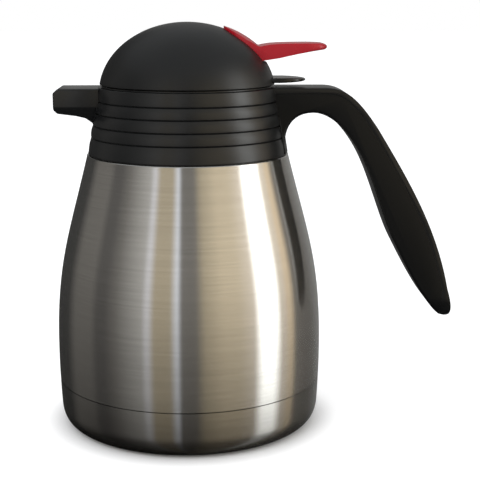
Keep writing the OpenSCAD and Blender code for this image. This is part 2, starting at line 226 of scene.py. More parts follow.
# %% Steels
# Spots per metre along X, Y and Z: first where the scratches run round the body, then on plain faces.
SCRATCHES, STREAKS = (45, 45, 5200), (26, 26, 1250)
PLAIN_SCRATCHES, PLAIN_STREAKS = (700, 700, 700), (90, 90, 90)
SMUDGE_SPOTS = 22
SCRATCH_STRENGTH = 0.12
QUARTER_TURN = 0.25
HAZE_ROUGH, HAZE_ANISOTROPY = 0.5, 0.5


def steel(name, deep, pale, rough, rough_spread, scratch_height, spun=True, anisotropy=0.9, haze=0.0):
    """A steel with scratches round the body where it is spun, and a share of wide haze."""
    made, finish = material(name)
    lines = grain(finish, 1.0, detail=3, stretch=SCRATCHES if spun else PLAIN_SCRATCHES, rough=0.65)
    broad = grain(finish, 1.0, detail=2, stretch=STREAKS if spun else PLAIN_STREAKS)
    smudge = grain(finish, SMUDGE_SPOTS, detail=4, rough=0.6)
    colour = blended(finish, between(finish, lines * 0.3 + broad * 0.7, 0, 1), deep, pale)
    roughness = between(finish, lines * 0.5 + smudge * 0.5, rough - rough_spread, rough + rough_spread)
    bump = finish.node("ShaderNodeBump", {}, {
        "Strength": SCRATCH_STRENGTH, "Distance": scratch_height, "Height": lines * 0.7 + broad * 0.3})
    shader = finish.node("ShaderNodeBsdfPrincipled", {}, {
        "Base Color": colour, "Metallic": 1.0, "Roughness": roughness, "Normal": bump,
        "Anisotropic": anisotropy, "Anisotropic Rotation": QUARTER_TURN})
    if haze:
        veil = finish.node("ShaderNodeBsdfPrincipled", {}, {
            "Base Color": colour, "Metallic": 1.0, "Roughness": HAZE_ROUGH,
            "Anisotropic": HAZE_ANISOTROPY, "Anisotropic Rotation": QUARTER_TURN})
        shader = finish.node("ShaderNodeMixShader", {}, {0: haze, 1: shader, 2: veil})
    finish.node("ShaderNodeOutputMaterial", {}, {"Surface": shader})
    return made


body_steel = steel("brushed body steel", (0.53, 0.52, 0.50), (0.72, 0.71, 0.69),
                   0.15, 0.03, 0.000006, haze=0.16)
cup_steel = steel("finely brushed cup steel", (0.48, 0.47, 0.45), (0.60, 0.59, 0.57),
                  0.13, 0.03, 0.000004, haze=0.10)
liner_steel = steel("bright liner steel", (0.62, 0.61, 0.60), (0.70, 0.69, 0.68), 0.16, 0.04, 0.000004)
turned_steel = steel("turned steel", (0.55, 0.55, 0.55), (0.66, 0.66, 0.66),
                     0.24, 0.05, 0.000004, spun=False, anisotropy=0.2)
getter_metal = steel("sintered getter metal", (0.12, 0.12, 0.13), (0.20, 0.20, 0.21),
                     0.6, 0.1, 0.00003, spun=False, anisotropy=0.0)
print("steels", [m.name for m in (body_steel, cup_steel, liner_steel, turned_steel)])

# %% [markdown]
# ## Outlines
#
# Everything on the flask's axis is turned, so each piece is an outline of radius and height, spun
# round. The outlines repeat the engineering model's curves in millimetres. Corners that show get a
# small radius, in the outline or as a bevel, because no moulded or rolled edge is sharp, and it is
# the edge that catches the light.

# %% Outline helpers
MM = 0.001
COLLAR_FOOT_R, COLLAR_FOOT_Z = 48.3, 133.6
COLLAR_RIM_R, COLLAR_RIM_Z = 43, 166.2
DOME_R, DOME_HIGH, DOME_FOOT_Z = 42.5, 34, 162.2


def curve(p, n):
    """Points along a cubic curve with four control points."""
    points = []
    for i in range(n + 1):
        t, s = i / n, 1 - i / n
        weights = (s * s * s, 3 * s * s * t, 3 * s * t * t, t * t * t)
        points.append(tuple(sum(w * q[k] for w, q in zip(weights, p)) for k in (0, 1)))
    return points


def inset(points, t):
    """A line of points moved sideways, to the left of the way it runs."""
    moved = []
    for i, p in enumerate(points):
        a, b = points[max(i - 1, 0)], points[min(i + 1, len(points) - 1)]
        dx, dz = b[0] - a[0], b[1] - a[1]
        length = math.hypot(dx, dz)
        moved.append((p[0] - t * dz / length, p[1] + t * dx / length))
    return moved


def rounded(points, radius, steps=3, least=25):
    """A closed outline with an arc at each corner that turns by more than `least` degrees."""
    out = []
    for i, p in enumerate(points):
        before, after = Vector(points[i - 1]), Vector(points[(i + 1) % len(points)])
        here = Vector(p)
        arm, leg = before - here, after - here
        turn = 180 - math.degrees(arm.angle(leg, math.pi))
        if turn < least or min(arm.length, leg.length) < 1e-6:
            out.append(p)
            continue
        reach = min(radius * math.tan(math.radians(turn) / 2), arm.length * 0.45, leg.length * 0.45)
        a, b = here + arm.normalized() * reach, here + leg.normalized() * reach
        for k in range(steps + 1):
            t = k / steps
            q = a * (1 - t) ** 2 + here * 2 * t * (1 - t) + b * t * t
            out.append((q.x, q.y))
    return out


def collar_r(z):
    """Radius of the collar's outside at a height."""
    change = (COLLAR_RIM_R - COLLAR_FOOT_R) * (z - COLLAR_FOOT_Z) / (COLLAR_RIM_Z - COLLAR_FOOT_Z)
    return COLLAR_FOOT_R + change


def dome_z(r, proud=0.0):
    """Height of the dome's outside at a distance from the axis."""
    return DOME_FOOT_Z + (DOME_HIGH + proud) * math.sqrt(max(0.0, 1 - (r / (DOME_R + proud)) ** 2))


def dome_line(grow, low, n):
    """The dome's outline from height `low` up to its top, grown by a thickness."""
    half, high = DOME_R + grow, DOME_HIGH + grow
    start = math.asin((low - DOME_FOOT_Z) / high)
    angles = [start + (math.pi / 2 - start) * i / n for i in range(n + 1)]
    return [(half * math.cos(u), DOME_FOOT_Z + high * math.sin(u)) for u in angles]


print("collar radius at its foot and rim", collar_r(COLLAR_FOOT_Z), collar_r(COLLAR_RIM_Z))

# %% [markdown]
# ## From a mesh to a piece
#
# Each finished mesh becomes one object at the origin. It is put on the body that carries it, it
# wears its finish, and the engineering solids that it stands for are hidden. Faces are smooth, and
# an edge that turns sharply is marked sharp, so flat faces stay flat and round ones stay round.

# %% Piece helpers
SHARP = math.radians(38)


def turned(outline, steps=144, closed=True, arc=360):
    """A mesh spun about the flask's axis from an outline of radius and height."""
    bm = bmesh.new()
    verts = [bm.verts.new((r * MM, 0, z * MM)) for r, z in outline]
    pairs = list(zip(verts, verts[1:] + verts[:1])) if closed else list(zip(verts, verts[1:]))
    edges = [bm.edges.new(pair) for pair in pairs]
    bmesh.ops.spin(bm, geom=verts + edges, cent=(0, 0, 0), axis=(0, 0, 1), dvec=(0, 0, 0),
                   angle=math.radians(arc), steps=steps, use_merge=arc == 360)
    bmesh.ops.remove_doubles(bm, verts=bm.verts, dist=1e-6)
    bmesh.ops.recalc_face_normals(bm, faces=bm.faces)
    return bm


def slab(outline, width, slices=1):
    """An outline of X and Z, given a width along Y about the middle plane."""
    bm = bmesh.new()
    verts = [bm.verts.new((x * MM, -width / 2 * MM, z * MM)) for x, z in outline]
    row = [bm.edges.new(pair) for pair in zip(verts, verts[1:] + verts[:1])]
    for _ in range(slices):
        made = bmesh.ops.extrude_edge_only(bm, edges=row)["geom"]
        moved = [v for v in made if isinstance(v, bmesh.types.BMVert)]
        bmesh.ops.translate(bm, verts=moved, vec=(0, width / slices * MM, 0))
        row = [e for e in made if isinstance(e, bmesh.types.BMEdge) and all(v in moved for v in e.verts)]
    return filled(bm)


def soften(bm, width, segments=3, sharpest=30, only=None):
    """A bevel along the edges that turn by more than `sharpest` degrees and pass the test `only`."""
    edges = [e for e in bm.edges
             if len(e.link_faces) == 2 and e.calc_face_angle(0) > math.radians(sharpest)
             and (only is None or only(e))]
    bmesh.ops.bevel(bm, geom=edges, offset=width * MM, offset_type="OFFSET", affect="EDGES",
                    segments=segments, profile=0.5, material=-1, clamp_overlap=True)


def piece(name, bm, body, finish, nodes=()):
    """Makes the object, puts it on its body and hides the solids that it stands for."""
    for face in bm.faces:
        face.smooth = True
    for edge in bm.edges:
        edge.smooth = not (len(edge.link_faces) == 2 and edge.calc_face_angle(0) > SHARP)
    mesh = bpy.data.meshes.new(name)
    bm.to_mesh(mesh)
    bm.free()
    mesh.materials.append(finish)
    obj = bpy.data.objects.new(name, mesh)
    bpy.context.scene.collection.objects.link(obj)
    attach(obj, body)
    if nodes:
        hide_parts(*nodes)
    print(name, len(mesh.polygons), "faces on", body)


def filled(bm):
    """A mesh with its open ends closed and its faces turned outwards."""
    bmesh.ops.holes_fill(bm, edges=[e for e in bm.edges if e.is_boundary], sides=0)
    bmesh.ops.recalc_face_normals(bm, faces=bm.faces)
    return bm


def carved(bm, tool):
    """One mesh cut by another."""
    meshes = []
    for label, source in (("work", bm), ("tool", tool)):
        mesh = bpy.data.meshes.new(label)
        source.to_mesh(mesh)
        source.free()
        meshes.append(bpy.data.objects.new(label, mesh))
        bpy.context.scene.collection.objects.link(meshes[-1])
    work, other = meshes
    cut = work.modifiers.new("cut", "BOOLEAN")
    cut.operation = "DIFFERENCE"
    cut.object = other
    cut.solver = "EXACT"
    seen = work.evaluated_get(bpy.context.evaluated_depsgraph_get())
    result = bmesh.new()
    result.from_mesh(seen.to_mesh())
    for obj in meshes:
        mesh = obj.data
        bpy.data.objects.remove(obj)
        bpy.data.meshes.remove(mesh)
    bmesh.ops.remove_doubles(result, verts=result.verts, dist=1e-6)
    return result


def brick(low, high):
    """A box between two corners, in millimetres."""
    bm = bmesh.new()
    bmesh.ops.create_cube(bm, size=1)
    size = [b - a for a, b in zip(low, high)]
    middle = [(a + b) / 2 * MM for a, b in zip(low, high)]
    bmesh.ops.scale(bm, verts=bm.verts, vec=[s * MM for s in size])
    bmesh.ops.translate(bm, verts=bm.verts, vec=middle)
    return bm


def drum(radius, low, high):
    """A cylinder on the flask's axis between two heights, in millimetres."""
    bm = bmesh.new()
    bmesh.ops.create_cone(bm, cap_ends=True, segments=48, radius1=radius * MM, radius2=radius * MM,
                          depth=(high - low) * MM)
    bmesh.ops.translate(bm, verts=bm.verts, vec=(0, 0, (low + high) / 2 * MM))
    return bm


def added(bm, other):
    """One mesh with another laid beside it."""
    mesh = bpy.data.meshes.new("part")
    other.to_mesh(mesh)
    other.free()
    bm.from_mesh(mesh)
    bpy.data.meshes.remove(mesh)
    return bm


print("helpers for pieces are ready")

# %% [markdown]
# ## The steel flask
#
# The real body is a tube of sheet, bulged and drawn in at the neck, with a cup welded on below. The
# join is a fine dark line all round. Both are spun as closed walls, so the line is a real gap and
# the inside is hollow.

# %% Body and cup
SHEET = 0.8
shell_line = (
    curve([(64.85, 23.2), (65, 27), (65.1, 31), (65.1, 38)], 6)
    + curve([(65.1, 38), (65.1, 80), (58.9, 93), (48.9, 132.6)], 48)[1:]
    + curve([(48.9, 132.6), (48.9, 133.3), (48.6, 133.5), (47.8, 133.5)], 5)[1:]
    + curve([(47.8, 133.5), (41.5, 133.5), (36.2, 136), (36.2, 143)], 10)[1:]
    + [(36.2, 151.5)])
body_wall = shell_line + list(reversed(inset(shell_line, SHEET)))
piece("steel_body", turned(body_wall, 180), "vessel", body_steel, ["outer_shell"])

cup_line = (
    curve([(56, 0), (61.3, 0), (63.8, 4), (64.2, 9.5)], 14)
    + curve([(64.2, 9.5), (64.5, 14), (64.7, 18), (64.8, 22.8)], 8)[1:])
cup_inner = inset(cup_line, SHEET)
cup_wall = ([(0, 3.2), (48.6, 3.2), (49.4, 2.9), (50.6, 0.4), (51.2, 0)] + cup_line
            + list(reversed(cup_inner[1:])) + [(56, SHEET), (51.4, SHEET), (49.4, 4), (0, 4)])
piece("steel_cup", turned(cup_wall, 180, closed=False), "vessel", cup_steel, ["base_cup"])

# %% The liner inside
liner_line = (
    [(0, 9)] + curve([(46, 9), (54, 9), (58.6, 14), (58.8, 22)], 10)
    + curve([(58.8, 22), (59.1, 28), (59.1, 32), (59.1, 38)], 3)[1:]
    + curve([(59.1, 38), (59.1, 79), (53.6, 91), (43.4, 127.5)], 24)[1:]
    + curve([(43.4, 127.5), (42, 132.5), (35.4, 131), (35.4, 138)], 10)[1:]
    + [(35.4, 151.5)])
liner_wall = liner_line + list(reversed(inset(liner_line[2:], SHEET))) + [(46, 9.8), (0, 9.8)]
piece("steel_liner", turned(liner_wall, 120, closed=False), "vessel", liner_steel,
      ["inner_liner"])

# %% [markdown]
# ## The base pad
#
# A rubber pad fills the recess of the foot. Its rim is rounded and its face carries shallow rings,
# which grip a wet table.

# %% Base pad
PAD_RINGS = (42, 34, 26, 18)
pad_line = [(0, 3.15), (48.2, 3.15), (48.7, 2.6), (48.6, 0.4), (48.2, 0)]
for ring in PAD_RINGS:
    pad_line += [(ring + 0.9, 0), (ring + 0.5, 0.5), (ring - 0.5, 0.5), (ring - 0.9, 0)]
pad_line += [(0, 0)]
piece("base_rubber", turned(pad_line, 96, closed=False), "vessel", pad_rubber, ["base_pad"])

# %% [markdown]
# ## The collar
#
# The collar is one moulding with four grooves cut round it. Between them the wall swells a little,
# so each band has its own soft highlight, and each groove is a dark line with a rounded lip.

# %% Collar ring
GROOVES = (141.9, 147.7, 153.5, 159.1)
BANDS_FROM, BANDS_TO = 134.2, 165.4
ABOVE_GROOVE, BELOW_GROOVE = 0.65, 0.4
SWELL, SUNK, LIP, LIP_FROM = 0.16, 0.1, 0.22, 0.72
# Each groove's profile: how far inside the collar's cone, and how far above the groove's height.
GROOVE_LINE = ((0.62, -0.18), (0.85, 0.02), (0.7, 0.2), (0.22, 0.42))

collar_outer = [(47.7, COLLAR_FOOT_Z), (48.1, 133.75), (COLLAR_FOOT_R, BANDS_FROM)]
for low, high in zip((BANDS_FROM, *GROOVES), (*GROOVES, BANDS_TO)):
    start = low if low == BANDS_FROM else low + ABOVE_GROOVE
    end = high if high == BANDS_TO else high - BELOW_GROOVE
    for k in range(7):
        t = k / 6
        z = start + (end - start) * t
        swell = SWELL * math.sin(math.pi * min(1, t * 1.15))
        if high in GROOVES:
            swell -= LIP * max(0, t - LIP_FROM) / (1 - LIP_FROM)
        collar_outer.append((collar_r(z) + swell - SUNK, z))
    if high in GROOVES:
        collar_outer += [(collar_r(high) - deep, high + up) for deep, up in GROOVE_LINE]
collar_outer += [(42.85, 165.15), (42.55, 165.5), (42.1, 165.6), (41.4, 165.62), (41.1, 165.8),
                 (41.0, COLLAR_RIM_Z)]
collar_inner = [(45.9, COLLAR_FOOT_Z), (collar_r(148) - 2.4, 148), (36.6, 150.2), (36.6, 152.7),
                (38.8, 152.7), (38.8, 165.6), (39.4, COLLAR_RIM_Z)]
collar_ring = turned(collar_outer + list(reversed(collar_inner)), 180)


def pour_channel():
    """The opening from inside the collar to the spout's mouth."""
    return brick((-70, -10.2, 155.2), (-36.8, 10.2, 162.8))


piece("collar_ring", carved(collar_ring, pour_channel()), "vessel", black, ["collar"])

# %% [markdown]
# ## The spout
#
# The spout is a short box with a flat top. Its lower corners are cut off at a slant, about 35
# degrees from upright, so its mouth is a hexagon with a wide top, and its underside curves down into
# the collar. It starts as a side outline of full width, is cut by two slanted planes, and gets a
# soft bevel all over.

# %% Spout
SPOUT_W, SPOUT_CORNER_Z = 25, 156.6
CORNER_OUT, CORNER_DOWN = 0.82, -0.57
spout_side = [(-41.5, 165.35), (-61.2, 165.35), (-63.4, 163.3), (-63.4, 155.4), (-61.8, 153.5),
              (-53, 152.3), (-48.6, 151.2), (-45.6, 148.8), (-44.2, 146.6), (-41.5, 146.6)]
spout = slab(spout_side, SPOUT_W)
for side in (-1, 1):
    bmesh.ops.bisect_plane(spout, geom=spout.verts[:] + spout.edges[:] + spout.faces[:],
                           plane_co=(0, side * SPOUT_W / 2 * MM, SPOUT_CORNER_Z * MM),
                           plane_no=(0, side * CORNER_OUT, CORNER_DOWN), clear_outer=True, dist=1e-7)
    filled(spout)
soften(spout, 0.55, segments=3, sharpest=24)
channel = pour_channel()
soften(channel, 0.8, segments=3)
piece("spout", carved(spout, channel), "vessel", black, ["collar"])

# %% [markdown]
# ## The handle
#
# The grip is a moulding, and a cover closes it along the outer edge. Each of the two starts as a
# side outline with a width. Its long edges are rounded, its sides are widened where they meet the
# collar, and at the toe they are drawn in to a round end.

# %% Handle outlines
COVER_THICK = 2.6
handle_outer = (
    [(40, 165.4), (66, 165.4)]
    + curve([(66, 165.4), (75.5, 165.4), (81.4, 160.6), (91.5, 145.6)], 16)[1:]
    + curve([(91.5, 145.6), (106, 122), (121.3, 98), (127.6, 66.5)], 20)[1:])
handle_end = curve([(127.6, 66.5), (130, 58.5), (131.6, 50.2), (127.5, 51.2)], 16)
handle_parting = [(124, 52.8)] + inset(list(reversed(handle_outer)), COVER_THICK)
handle_inner = (
    curve([(124, 52.8), (115.2, 61), (106.5, 78.5), (101, 89.2)], 20)
    + curve([(101, 89.2), (95.7, 99.2), (91.2, 116.8), (85, 129.8)], 14)[1:]
    + curve([(85, 129.8), (79.4, 141.6), (70, 153.6), (60.1, 153.6)], 14)[1:]
    + curve([(60.1, 153.6), (47.6, 153.6), (45.4, 142.6), (47, 135)], 14)[1:])
print("handle outline points", len(handle_outer), len(handle_inner))

# %% [markdown]
# The shell is the inner part. Its finger edges get a wide round, its edges along the cover a fine
# one, and near the collar it flares to the width of the root. Then it is cut back to the collar's
# cone, so nothing pokes through into the flask.

# %% Handle shell
GRIP_W = 24
FLARE_FROM, FLARE_TO, FLARE = 58, 44, 0.085
TOE_Z, TOE_R = 62.6, 12.1
TOE_CUTS, TOE_CUT_FROM, TOE_CUT_STEP = 8, 52.4, 1.4
ROOT_INSIDE = 0.3


def on_line(points, half_width):
    """A test for edges that run along an outline at either side of a slab."""
    marks = [Vector((x * MM, z * MM)) for x, z in points]

    def near(v):
        return min((Vector((v.co.x, v.co.z)) - m).length for m in marks) < 1e-5
    return lambda e: all(near(v) and abs(abs(v.co.y) - half_width * MM) < 1e-6 for v in e.verts)


def widened(v):
    """The width at a point, as a share of the grip's: wide at the root, round at the toe."""
    root = min(1, max(0, (FLARE_FROM - v.co.x / MM) / (FLARE_FROM - FLARE_TO)))
    below = max(0, TOE_Z - v.co.z / MM)
    toe = math.sqrt(TOE_R ** 2 - below ** 2) / TOE_R
    return (1 + FLARE * root * root * (3 - 2 * root)) * toe


def fitted(bm):
    """A slab of the handle with its wide root and round toe, cut back to just inside the collar."""
    for k in range(TOE_CUTS):
        bmesh.ops.bisect_plane(bm, geom=bm.verts[:] + bm.edges[:] + bm.faces[:],
                               plane_co=(0, 0, (TOE_CUT_FROM + TOE_CUT_STEP * k) * MM),
                               plane_no=(0, 0, 1), dist=1e-7)
    for v in bm.verts:
        v.co.y *= widened(v)
    low, high = 120, 172
    cone = turned([(0, low), (collar_r(low) - ROOT_INSIDE, low), (collar_r(high) - ROOT_INSIDE, high),
                   (0, high)], 96, closed=False)
    return carved(bm, cone)


shell_side = handle_inner + [(40, 135)] + list(reversed(handle_parting[1:]))
handle = slab(shell_side, GRIP_W)
soften(handle, 4.6, segments=6, sharpest=20, only=on_line(handle_inner, GRIP_W / 2))
soften(handle, 0.3, segments=2, sharpest=50)
piece("handle_grip", fitted(handle), "vessel", black_grip, ["handle_shell"])

# %% Root plate
ROOT_HALF, PLATE_OUT, PLATE_IN = 16.6, 0.42, 0.8
plate_line = [(collar_r(z) + PLATE_OUT, z) for z in (134.2, 140, 148, 156, 163, 165.5)]
plate_line += [(collar_r(z) - PLATE_IN, z) for z in (165.5, 134.2)]
plate = filled(turned(plate_line, 18, arc=2 * ROOT_HALF))
bmesh.ops.rotate(plate, verts=plate.verts, cent=(0, 0, 0),
                 matrix=Matrix.Rotation(math.radians(-ROOT_HALF), 3, "Z"))
soften(plate, 0.35, segments=3, sharpest=50)
piece("handle_root", plate, "vessel", black_grip, ["handle_shell"])

# %% Handle cover
COVER_W = GRIP_W - 0.3
cover_outer = handle_outer + handle_end[1:]
cover = slab(cover_outer + handle_parting, COVER_W)
soften(cover, 2.2, segments=2, sharpest=20, only=on_line(cover_outer, COVER_W / 2))
soften(cover, 0.3, segments=2, sharpest=40)
piece("handle_cover", fitted(cover), "vessel", black_cover, ["handle_back"])

# %% [markdown]
# ## The dome
#
# The dome is turned as a wall 2.2 mm thick, and a slot with a round front is cut for the lever. A
# thin shadow line stays round the red tongue.

# %% Dome
DOME_WALL = 2.2
SLOT_FRONT, SLOT_HALF, SLOT_ROUND = 17.2, 11.55, 11.3
dome_side = [(42.0, 166.95)] + dome_line(0, 167.4, 40) + list(reversed(dome_line(-DOME_WALL, 167.0, 30)))
dome = turned(dome_side, 180, closed=False)
slot = brick((SLOT_FRONT, -SLOT_HALF, 177.3), (60, SLOT_HALF, 200))


def front_corner(e):
    """A test for the two upright edges at the slot's front."""
    first, second = (v.co for v in e.verts)
    return max(first.x, second.x) < 0.03 and abs(first.z - second.z) > 0.01


soften(slot, SLOT_ROUND, segments=16, only=front_corner)
dome = carved(dome, slot)
tab_hole = brick((30, -10.7, 167.5), (50, 10.7, 170.2))
piece("dome", carved(dome, tab_hole), "lid", black_dome, ["dome_shell"])

# %% [markdown]
# ## The lever
#
# One red moulding does two jobs. Its front is a round tongue that lies in the dome's slot and
# carries on the dome's curve; its rear leaves the dome and becomes the thumb piece. Its side outline
# is given its width in slices. Then the front corners are drawn back to a half circle, the slices
# over the dome sink to follow the dome across, and the thumb piece's corners are drawn in.

# %% Lever
LEVER_W, PROUD, BACK, TONGUE, FRONT_ROUND = 22.5, 0.5, 2.0, 17.6, 11.0
TONGUE_THICK = 3.4
# Across, the tongue follows the dome up to DOME_LAST and eases out of it before DOME_END.
DOME_END, DOME_BLEND, DOME_LAST = 36, 8, 32
TIP_ROUND, TIP_FROM, TIP_LONG = 7.5, 56, 10.5
lever_top = [(x, dome_z(x - BACK, PROUD)) for x in (TONGUE, 19, 20.5, 22, 24, 26, 28, 30, 32, 33.5)]
lever_top += curve([(33.5, dome_z(31.5, PROUD)), (34.6, 184.9), (35.6, 185.2), (39.5, 185.85)], 8)[1:]
lever_top += [(44, 186.15), (50, 186.3), (56, 186.35), (62.5, 186.35)]
lever_tip = curve([(62.5, 186.35), (68.1, 186.6), (67.8, 183.2), (64.6, 183.1)], 8)[1:]
lever_low = [(58, 182.2), (52, 181.25), (47, 180.2), (44, 179.5), (40.5, 178.95), (37, 178.45)]
lever_inside = [(33.4, 178.5)]
lever_inside += [(x, dome_z(x - BACK, PROUD) - TONGUE_THICK) for x in (30, 27, 24, 21, 19, TONGUE)]
lever = slab(lever_top + lever_tip + lever_low + lever_inside, LEVER_W, slices=30)
for v in lever.verts:
    x, y, z = (c / MM for c in v.co)
    if x < DOME_END:
        over = min(1, max(0, (DOME_END - x) / DOME_BLEND))
        aside = max(0, abs(y) - (LEVER_W / 2 - FRONT_ROUND))
        front = TONGUE + FRONT_ROUND - math.sqrt(max(0, FRONT_ROUND ** 2 - aside ** 2))
        share = max(0, (TONGUE + FRONT_ROUND - x) / FRONT_ROUND)
        moved_x = x + (front - TONGUE) * share
        v.co.x = moved_x * MM
        r = math.hypot(min(moved_x, DOME_LAST) - BACK, y)
        v.co.z += (dome_z(r, PROUD) - dome_z(min(x, DOME_LAST) - BACK, PROUD)) * over * MM
    if x > TIP_FROM:
        corner = max(0, abs(y) - (LEVER_W / 2 - TIP_ROUND))
        pull = TIP_ROUND - math.sqrt(max(0, TIP_ROUND ** 2 - corner ** 2))
        v.co.x -= pull * min(1, (x - TIP_FROM) / TIP_LONG) * MM
bmesh.ops.remove_doubles(lever, verts=lever.verts, dist=2e-5)
soften(lever, 0.7, segments=3, sharpest=42)
piece("lever_strip", lever, "lever", red, ["lever"])

# %% Lever works under the dome
PIVOT_X, PIVOT_Z = 30, 176
ARM_Y, HOOK_Y = 6.9, 4.6
web = slab([(27, 176), (26, 185.5), (32.5, 183), (34.0, 178.8), (33.4, 176)], 14)
hub = turned([(0, -7), (3.8, -7), (3.8, 7), (0, 7)], 40, closed=False)
bmesh.ops.rotate(hub, verts=hub.verts, cent=(0, 0, 0),
                 matrix=Matrix.Rotation(math.radians(90), 3, "X"))
bmesh.ops.translate(hub, verts=hub.verts, vec=(PIVOT_X * MM, 0, PIVOT_Z * MM))
works = added(web, hub)
for side in (-1, 1):
    arm = brick((-3, side * ARM_Y - 1.1, 182.8), (29, side * ARM_Y + 1.1, 186.8))
    hook = brick((-1.5, side * HOOK_Y - 1.3, 182.8), (1.5, side * HOOK_Y + 1.3, 185.8))
    soften(arm, 0.3, segments=2)
    soften(hook, 0.3, segments=2)
    works = added(added(works, arm), hook)
piece("lever_works", works, "lever", red, ["lever"])

# %% [markdown]
# ## The stopper and its thumb tab
#
# Only the tab shows while the lid is on: a polished tongue with a round end, whose underside is
# bowed. The plug below is turned, with windows that let the drink through to the spout and three
# sloping ramps of a coarse thread.

# %% Thumb tab
TAB_W, TAB_ROUND = 20.9, 46.5
END_HALF = TAB_W / 2 + 0.05
tab_side = (
    [(36, 167.8), (44, 167.75), (50, 167.85)]
    + curve([(50, 167.85), (56.2, 167.9), (57, 168.2), (57, 168.95)], 6)[1:]
    + curve([(57, 168.95), (57, 169.6), (56.2, 169.95), (50, 170.0)], 6)[1:]
    + [(44, 170.0), (36, 170.0)])
tab = slab(tab_side, TAB_W, slices=16)
for v in tab.verts:
    x, y = v.co.x / MM, v.co.y / MM
    if x > TAB_ROUND:
        v.co.x = (TAB_ROUND + (x - TAB_ROUND) * math.sqrt(max(0, 1 - (y / END_HALF) ** 2))) * MM
bmesh.ops.remove_doubles(tab, verts=tab.verts, dist=1e-6)
soften(tab, 0.5, segments=2, sharpest=50)
piece("thumb_tab", tab, "lid", black_tab, ["stopper_body"])

# %% Stopper plug
THREAD_IN, THREAD_OUT, THREAD_Z, THREAD_H = 29.2, 30.35, 145, 2.4
THREAD_ARC, THREAD_TILT = 80, 2.4
PORT_HALF, PORT_REACH, PORT_LOW, PORT_HIGH = 8, 35, 155.2, 163.2


def thread_ramp(turn):
    """One sloping ramp of the lid's coarse thread, at a turn about the axis in degrees."""
    ramp = filled(turned([(THREAD_IN, -THREAD_H / 2), (THREAD_OUT, -THREAD_H / 4),
                          (THREAD_OUT, THREAD_H / 4), (THREAD_IN, THREAD_H / 2)], 20, arc=THREAD_ARC))
    soften(ramp, 0.25, segments=2)
    bmesh.ops.transform(ramp, verts=ramp.verts, matrix=(
        Matrix.Rotation(math.radians(turn), 4, "Z") @ Matrix.Translation((0, 0, THREAD_Z * MM))
        @ Matrix.Rotation(math.radians(THREAD_TILT), 4, "X")
        @ Matrix.Rotation(math.radians(-THREAD_ARC / 2), 4, "Z")))
    return ramp


plug_line = rounded([(0, 134), (27, 134), (27, 141.5), (29.5, 141.5), (29.5, 167.7), (39, 167.7),
                     (39, 170), (27.7, 170), (27.7, 143), (25, 141.5), (25, 136.5), (0, 136.5)], 0.5)
plug = turned(plug_line, 96, closed=False)
plug = carved(plug, drum(9, 133, 138))
for far_x, far_y in ((PORT_REACH, PORT_HALF), (PORT_HALF, PORT_REACH)):
    port = brick((-far_x, -far_y, PORT_LOW), (far_x, far_y, PORT_HIGH))
    soften(port, 1.2, segments=3)
    plug = carved(plug, port)
for turn in (0, 120, 240):
    plug = added(plug, thread_ramp(turn))
piece("stopper_plug", plug, "lid", black, ["stopper_body"])

# %% [markdown]
# ## The hidden pieces
#
# The neck ring, the seals and the valve come into view when the lid is lifted off. Their solids are
# the right shape already, so each keeps its solid and gets its own finish.

# %% Finishes for the solids that stay
KEPT = {
    "getter": getter_metal, "vacuum_seal": liner_steel, "neck_ring": inner_black,
    "neck_gasket": silicone, "handle_screws": turned_steel, "rim_gasket": pad_rubber,
    "stopper_gasket": silicone, "lid_bridge": inner_black, "bridge_screws": turned_steel,
    "lever_pin": turned_steel, "stem_seal": silicone, "valve_spring": turned_steel,
    "valve_stem": natural, "valve_disc": natural, "valve_seal": silicone}
for name, finish in KEPT.items():
    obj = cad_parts[name]
    for slot_index in range(len(obj.material_slots)):
        obj.material_slots[slot_index].material = finish
    print(name, "wears", finish.name)

# %% [markdown]
# ## Floor, light and room
#
# The photograph is a cut-out on white with a soft shadow at the foot. The floor is pale paint that
# takes the real shadow, and it also glows to the camera, so that it goes to plain white. Round the
# foot that glow is faded out, which is painted shadow: it keeps the shadow there tight and dark. An
# even sky gives the plain level of light, and one large lamp gives it a side.
# Polished steel has no look of its own: it shows the room. So the room that glossy rays meet has
# upright strips, as a room with a window, pale walls and dark corners has. It darkens towards the
# floor, and an even ceiling closes it.

# %% Floor
FLOOR_HALF, FLOOR_DROP = 6, 0.0002
# Painted shadow: between these distances from the axis the floor's glow fades in, so the floor round the
# foot stays darker than the light alone makes it.
PAINTED_SHADOW_FROM, PAINTED_SHADOW_TO = 0.057, 0.077
FLOOR_GLOW = 0.5
floor_mesh = bpy.data.meshes.new("floor")
floor_bm = bmesh.new()
bmesh.ops.create_grid(floor_bm, x_segments=2, y_segments=2, size=FLOOR_HALF)
floor_bm.to_mesh(floor_mesh)
floor_bm.free()
floor = bpy.data.objects.new("floor", floor_mesh)
bpy.context.scene.collection.objects.link(floor)
floor.location.z = -FLOOR_DROP
floor.visible_glossy = False

floor_with_painted_shadow, finish = material("pale floor with painted shadow")
seen = finish.node("ShaderNodeLightPath", out="Is Camera Ray")
away = finish.node("ShaderNodeVectorMath", {"operation": "LENGTH"}, {
    0: finish.node("ShaderNodeTexCoord", out="Object")}, out="Value")
# Painted shade: the glow is near black close to the foot and white further out, which paints the
# shadow's tight dark edge.
painted_shadow_fade = finish.node("ShaderNodeMapRange", {"interpolation_type": "SMOOTHSTEP"}, {
    "Value": away, "From Min": PAINTED_SHADOW_FROM, "From Max": PAINTED_SHADOW_TO, "To Min": 0.0, "To Max": 1.0})
paint = finish.node("ShaderNodeBsdfDiffuse", {}, {"Color": (0.86, 0.86, 0.86, 1)})
glow_past_painted_shadow = finish.node("ShaderNodeEmission", {}, {
    "Color": blended(finish, painted_shadow_fade, (0.02, 0.02, 0.02), (1, 1, 1)), "Strength": seen * FLOOR_GLOW})
both = finish.node("ShaderNodeAddShader", {}, {0: paint, 1: glow_past_painted_shadow})
finish.node("ShaderNodeOutputMaterial", {}, {"Surface": both})
floor_mesh.materials.append(floor_with_painted_shadow)
print("floor", floor.name)

